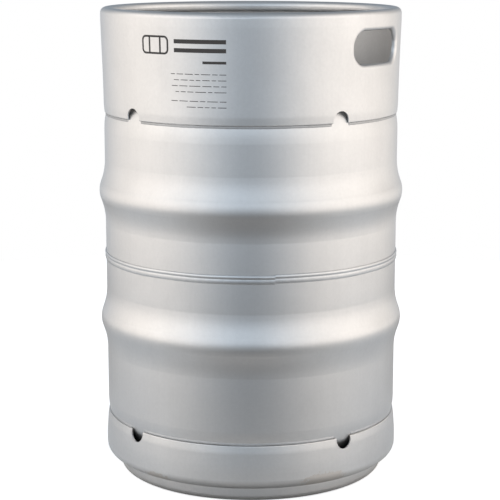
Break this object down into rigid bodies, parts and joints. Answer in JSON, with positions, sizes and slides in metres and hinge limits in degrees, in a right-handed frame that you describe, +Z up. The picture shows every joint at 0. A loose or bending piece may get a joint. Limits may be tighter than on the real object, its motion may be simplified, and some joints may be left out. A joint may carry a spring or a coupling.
{
  "type": "beer keg",
  "caption": "Stainless steel beer keg with rolled rings, a top chime with handholes, a nesting foot and a drop-in extractor valve with a ball-closed beer way.",
  "frame": {"origin": "centre of the base, on the floor", "axes": "+Z up along the keg's axis; -Y towards the front, midway between the top chime's handholes turned a little to the left; the handholes look about 56 degrees round from the front"},
  "size_m": [0.3952, 0.3952, 0.605],
  "materials": {
    "shell_steel": "satin, pickled and bead-blasted stainless steel",
    "chime_steel": "satin, pickled and bead-blasted stainless steel",
    "weld_steel": "pickled weld metal",
    "neck_steel": "turned stainless steel",
    "valve_steel": "pressed and turned stainless steel",
    "ring_steel": "rolled spring steel",
    "spring_steel": "drawn spring wire",
    "tube_steel": "drawn stainless tube",
    "ball_steel": "polished ball",
    "seal_rubber": "moulded black rubber",
    "bush_plastic": "moulded acetal",
    "print_ink": "dark printing ink on the top chime"
  },
  "bodies": {
    "keg": {"upper_shell": "shell_steel", "lower_shell": "shell_steel", "girth_weld": "weld_steel", "top_chime": "chime_steel", "bottom_chime": "chime_steel", "top_chime_weld": "weld_steel", "bottom_chime_weld": "weld_steel", "top_chime_seam": "weld_steel", "bottom_chime_seam": "weld_steel", "valve_neck": "neck_steel", "neck_weld": "weld_steel", "valve_body": "valve_steel", "neck_seal": "seal_rubber", "retaining_ring": "ring_steel", "spring_cup": "valve_steel", "tube_guide": "bush_plastic", "main_spring": "spring_steel"},
    "spear": {"gas_seal": "seal_rubber", "seal_carrier": "valve_steel", "down_tube": "tube_steel", "ball_spring_seat": "valve_steel", "ball_spring": "spring_steel"},
    "ball": {"beer_ball": "ball_steel"}
  },
  "joints": [
    {"name": "gas_valve", "type": "slide", "parent": "keg", "child": "spear", "axis": [0, 0, -1], "range_m": [0, 0.006], "stiffness_N_per_m": 5000, "springref_m": -0.018, "deforming": ["main_spring"]},
    {"name": "beer_valve", "type": "slide", "parent": "spear", "child": "ball", "axis": [0, 0, -1], "range_m": [0, 0.005], "stiffness_N_per_m": 800, "springref_m": -0.006, "deforming": ["ball_spring"]}
  ]
}
